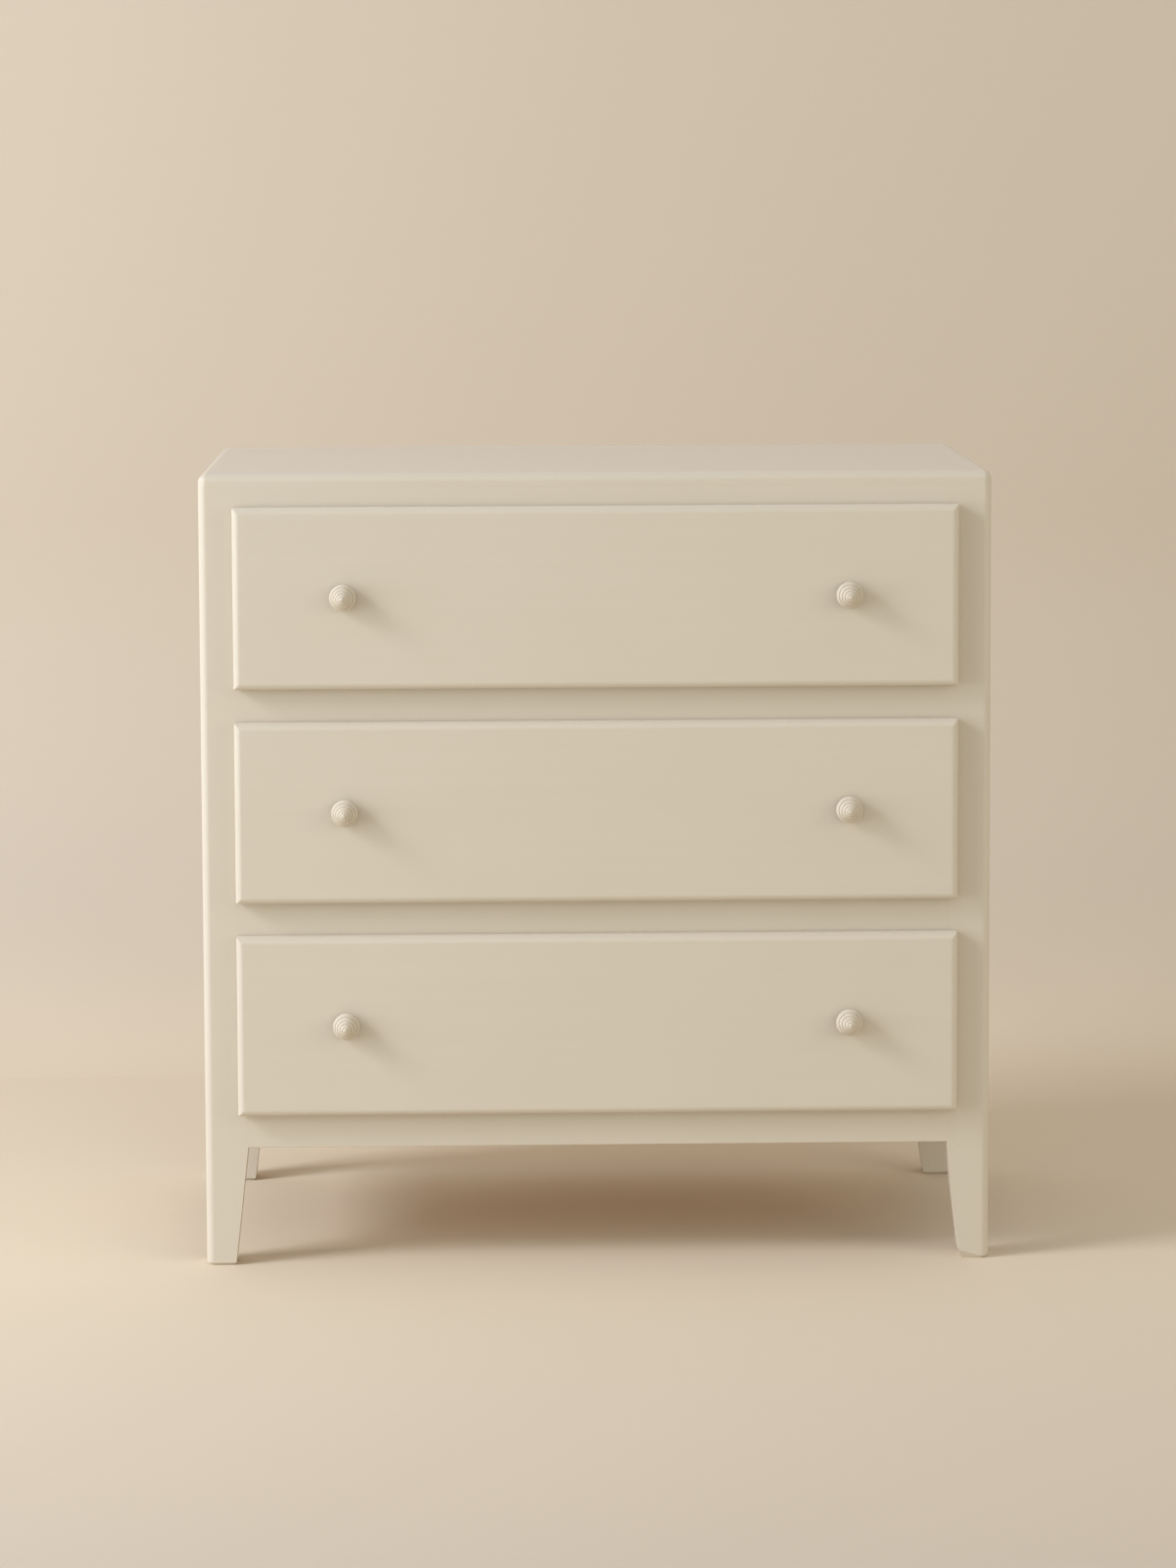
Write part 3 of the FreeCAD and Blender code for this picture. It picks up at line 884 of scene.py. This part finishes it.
def makeScrewTree(p):
    tree, start, end = newGroup(
        "crossHeadScrews", "GeometryNodeTree",
        [("Places", "Geometry", None), ("Head Radius", "Float", 0.0045), ("Head Height", "Float", 0.0024),
         ("Cross Depth", "Float", 0.0014), ("Shank Radius", "Float", 0.002), ("Tip Radius", "Float", 0.002),
         ("Shank Length", "Float", 0.045), ("Turn", "Vector", None), ("Seed", "Int", 1), ("Metal", "Material", None)],
        [("Geometry", "Geometry")],
    )
    headRadius, headHeight = (start, "Head Radius"), (start, "Head Height")
    # the outline: tip, end of the shank, then the steps of the pan head
    index = addNode(tree, "GeometryNodeInputIndex")
    angle = times(tree, mathNode(tree, "SUBTRACT", index, 2.0), quarterTurn / (p["headSteps"] - 1))
    panRadius = times(tree, mathNode(tree, "POWER", mathNode(tree, "COSINE", angle), p["roundness"]), headRadius)
    panReach = times(tree, mathNode(tree, "SINE", angle), headHeight)
    isHead, isSeat = [compare(tree, "GREATER_THAN", index, limit) for limit in (1.5, 0.5)]
    shankRadius = chooser(tree, isSeat, (start, "Tip Radius"), (start, "Shank Radius"))
    shankReach = chooser(tree, isSeat, times(tree, (start, "Shank Length"), -1.0), p["seat"])
    radius = chooser(tree, isHead, shankRadius, panRadius)
    reach = chooser(tree, isHead, shankReach, panReach)
    position = addNode(tree, "ShaderNodeCombineXYZ", {"Z": reach})
    drawn = addNode(tree, "GeometryNodeSetPosition", {"Geometry": cutAxis(tree, p["headSteps"] + 2), "Position": position})
    closed = mergeEnds(tree, roundTube(tree, drawn, p["sides"], radius))
    # the cross: two thin blocks cut out of the head
    blockLength, blockWidth = [times(tree, headRadius, p[share]) for share in ("crossLength", "crossWidth")]
    blockDepth = times(tree, (start, "Cross Depth"), 2.0)
    lift = addNode(tree, "ShaderNodeCombineXYZ", {"Z": headHeight})
    carved = addNode(tree, "GeometryNodeMeshBoolean", {"Mesh 1": closed}, operation="DIFFERENCE", solver="EXACT")
    for first, second in ((blockLength, blockWidth), (blockWidth, blockLength)):
        size = addNode(tree, "ShaderNodeCombineXYZ", {"X": first, "Y": second, "Z": blockDepth})
        block = addNode(tree, "GeometryNodeMeshCube", {"Size": size})
        feed(tree, carved, {"Mesh 2": addNode(tree, "GeometryNodeTransform", {"Geometry": block, "Translation": lift})})
    # each screw stopped turning where it was tight
    turn = addNode(tree, "FunctionNodeEulerToRotation", {0: (start, "Turn")})
    real = placeCopies(tree, start, (start, "Places"), (carved, "Mesh"), turn)
    feed(tree, end, {0: addNode(tree, "GeometryNodeSetMaterial", {"Geometry": real, "Material": (start, "Metal")})})
    return tree


knobScrews = {
    "Head Radius": 0.0045, "Head Height": 0.0024, "Cross Depth": 0.0014,
    "Shank Radius": 0.002, "Tip Radius": 0.002, "Shank Length": 0.045,
}
backScrews = {
    "Head Radius": 0.0034, "Head Height": 0.0017, "Cross Depth": 0.0011,
    "Shank Radius": 0.0015, "Tip Radius": 0.0003, "Shank Length": 0.022,
}
cleatScrews = {
    "Head Radius": 0.0038, "Head Height": 0.0019, "Cross Depth": 0.0012,
    "Shank Radius": 0.0018, "Tip Radius": 0.0003, "Shank Length": 0.03,
}
screwPlaces = {
    "alongRails": (-0.29, -0.1, 0.1, 0.29),
    "fromEdge": 0.005,
    "upSides": (0, 0.25, 0.5, 0.75, 1),  # shares of the way from the lower to the upper rear rail
    "alongCleats": (0.14, 0.5, 0.86),  # shares of a cleat's length
}
screwTree = makeScrewTree(screwMake)


def makeScrews(name, node, places, turn, seed, p, standsFor):
    values = dict(p, Turn=turn, Seed=seed, Metal=screwSteel)
    mesh = growMesh(name, screwTree, values, screwMake["sharpAngle"], places)
    finishPiece(name, mesh, node, standsFor)


def placeScrews(p):
    headBack, headDown = (-quarterTurn, 0, 0), (math.pi, 0, 0)
    for seed, level in enumerate(("lower", "middle", "upper")):
        node = level + "_drawer_knob_screws"
        low, high = boxOf(node)
        seatY = boxOf(level + "_drawer_inner_front")[1].y
        z = (low.z + high.z) / 2
        places = [(side * knobs["Spacing"] / 2, seatY, z) for side in (-1, 1)]
        makeScrews(level + "DrawerKnobScrews", node, places, headBack, seed + 11, knobScrews, True)
    low, high = boxOf("back_panel")
    rows = [sum(boxOf(rail)[end].z for end in (0, 1)) / 2 for rail in ("lower_rear_rail", "upper_rear_rail")]
    edge = high.x - p["fromEdge"]
    places = [(x, high.y, z) for z in rows for x in p["alongRails"]]
    heights = [rows[0] + (rows[1] - rows[0]) * share for share in p["upSides"]]
    places += [(side * edge, high.y, z) for side in (-1, 1) for z in heights]
    makeScrews("backPanelScrews", "back_panel", places, headBack, 21, backScrews, False)
    for seed, side in enumerate(("left", "right")):
        low, high = boxOf(side + "_top_cleat")
        places = [((low.x + high.x) / 2, low.y + (high.y - low.y) * share, low.z) for share in p["alongCleats"]]
        makeScrews(side + "CleatScrews", side + "_top_cleat", places, headDown, seed + 31, cleatScrews, False)


placeScrews(screwPlaces)
print("screws made")


# stage: a pale paper floor that sweeps up into a wall close behind

stagePlace = {
    "wallAt": 1.5,
    "coveRadius": 0.7,
    "coveSteps": 16,
    "lift": 0.0004,  # keeps the foot of the cove just above the floor
    "wallTop": 3.0,
    "wallHalf": 8.0,
    "reach": 12.0,
    "nearShadeAndFleckColour": "CEC0AC",  # painted shade: the floor in front, towards the camera, painted darker as if less light reached it; also the tone of the paper's random flecks
    "floorColour": "E1D2BB",
    "wallColour": "CBBEAB",
    "skyColour": "D9CAB7",
}


def paperMaterial(name, p, fadeNodes, singleSided):
    # one colour rule for floor and wall, so that no crease shows where they meet
    material, tree = blankMaterial(name)
    point = (addNode(tree, "ShaderNodeTexCoord"), "Object")
    split = addNode(tree, "ShaderNodeSeparateXYZ", {0: point})
    lowDown = mathNode(tree, "POWER", mapRange(tree, (split, "Z"), 0.25, 0.0), 3.0)
    # painted shade: the floor is painted darker towards the camera, standing in for less light there
    paintedShadeToFront = mapRange(tree, (split, "Y"), -0.25, -1.25)
    ground = mixColours(tree, paintedShadeToFront, p["floorColour"], p["nearShadeAndFleckColour"])
    sweep = mixColours(tree, lowDown, p["wallColour"], ground)
    fleck = times(tree, noise(tree, point, Scale=1.5, Detail=4.0), 0.12)
    tint = mixColours(tree, fleck, sweep, p["nearShadeAndFleckColour"])
    shader = addNode(tree, "ShaderNodeBsdfPrincipled", {"Base Color": tint, "Roughness": 0.85})
    fade = fadeNodes(tree, point)
    if singleSided:
        fade = mathNode(tree, "MAXIMUM", (addNode(tree, "ShaderNodeNewGeometry"), "Backfacing"), fade)
    clear = addNode(tree, "ShaderNodeBsdfTransparent")
    mix = addNode(tree, "ShaderNodeMixShader", {0: fade, 1: shader, 2: clear})
    addNode(tree, "ShaderNodeOutputMaterial", {"Surface": mix})
    return material


def fadeBetween(tree, value, start, end):
    return mapRange(tree, value, start, end, interpolation_type="SMOOTHSTEP")


def farAway(tree, point):
    # the floor thins out into the background far from the commode
    return fadeBetween(tree, (vectorMath(tree, "LENGTH", point), "Value"), 6.0, 11.0)


def highUp(tree, point):
    # and so does the wall, at its top and its ends
    split = addNode(tree, "ShaderNodeSeparateXYZ", {0: point})
    top = fadeBetween(tree, (split, "Z"), 2.1, 2.95)
    return mathNode(tree, "MAXIMUM", top, fadeBetween(tree, mathNode(tree, "ABSOLUTE", (split, "X")), 5.0, 8.0))


def paperSheet(name, bm, material):
    mesh = bpy.data.meshes.new(name)
    bm.to_mesh(mesh)
    bm.free()
    mesh.materials.append(material)
    sheet = bpy.data.objects.new(name, mesh)
    scene.collection.objects.link(sheet)
    return sheet


def makeStage(p):
    reach = p["reach"]
    bm = bmesh.new()
    corners = ((-reach, -reach), (reach, -reach), (reach, reach), (-reach, reach))
    bm.faces.new([bm.verts.new((x, y, 0)) for x, y in corners])
    floor = paperSheet("paperFloor", bm, paperMaterial("floorPaper", p, farAway, False))
    bm = bmesh.new()
    angles = [quarterTurn * i / p["coveSteps"] for i in range(p["coveSteps"] + 1)]
    line = [(p["wallAt"] - p["coveRadius"] * (1 - math.sin(a)), p["coveRadius"] * (1 - math.cos(a)) + p["lift"])
            for a in angles]
    line.append((p["wallAt"], p["wallTop"]))
    rows = [[bm.verts.new((x, y, z)) for y, z in line] for x in (-p["wallHalf"], p["wallHalf"])]
    for i in range(len(line) - 1):
        bm.faces.new((rows[0][i], rows[1][i], rows[1][i + 1], rows[0][i + 1])).smooth = True
    wall = paperSheet("paperWall", bm, paperMaterial("wallPaper", p, highUp, True))


makeStage(stagePlace)


# light: one soft key from the left, broad fills and a dim room

lights = {
    "keyLamp": {"from": (-2.2, -0.9, 1.4), "distance": 6.0, "size": 1.7, "colour": (0.877, 0.911, 1.0), "power": 185.0},
    "leftFill": {"from": (-2.0, -1.0, 0.25), "distance": 4.0, "size": 2.4, "colour": (0.806, 0.894, 1.0), "power": 85.0},
    "rightFill": {"from": (1.7, -1.3, 0.5), "distance": 5.0, "size": 3.0, "colour": (1.0, 0.963, 0.748), "power": 48.0},
}
lampAim = (0, 0, 0.45)
room = {"colour": (0.984, 0.982, 1.0), "level": 0.569}


def addLamp(name, p):
    data = bpy.data.lights.new(name, "AREA")
    data.shape = "SQUARE"
    data.size = p["size"]
    data.color = p["colour"]
    data.energy = p["power"]
    lamp = bpy.data.objects.new(name, data)
    scene.collection.objects.link(lamp)
    aim = Vector(lampAim)
    way = Vector(p["from"]).normalized()
    lamp.matrix_world = Matrix.Translation(aim + way * p["distance"]) @ way.to_track_quat("Z", "Y").to_matrix().to_4x4()


def addRoom(p, sky):
    # the room lights the commode, and the camera and the gloss see a plain colour instead
    world = bpy.data.worlds.new("room")
    scene.world = world
    world.use_nodes = True
    tree = world.node_tree
    tree.nodes.clear()
    path = addNode(tree, "ShaderNodeLightPath")
    mirror = mathNode(tree, "MAXIMUM", (path, "Is Glossy Ray"), (path, "Is Transmission Ray"))
    shown = mathNode(tree, "MAXIMUM", (path, "Is Camera Ray"), mirror)
    ambient = addNode(tree, "ShaderNodeBackground", {"Color": p["colour"] + (1.0,), "Strength": p["level"]})
    seen = addNode(tree, "ShaderNodeBackground", {"Color": hexColour(sky), "Strength": 1.0})
    mix = addNode(tree, "ShaderNodeMixShader", {0: shown, 1: ambient, 2: seen})
    addNode(tree, "ShaderNodeOutputWorld", {"Surface": mix})


for name, place in lights.items():
    addLamp(name, place)
addRoom(room, stagePlace["skyColour"])
scene.view_settings.view_transform = "Standard"
print("stage and lights set")
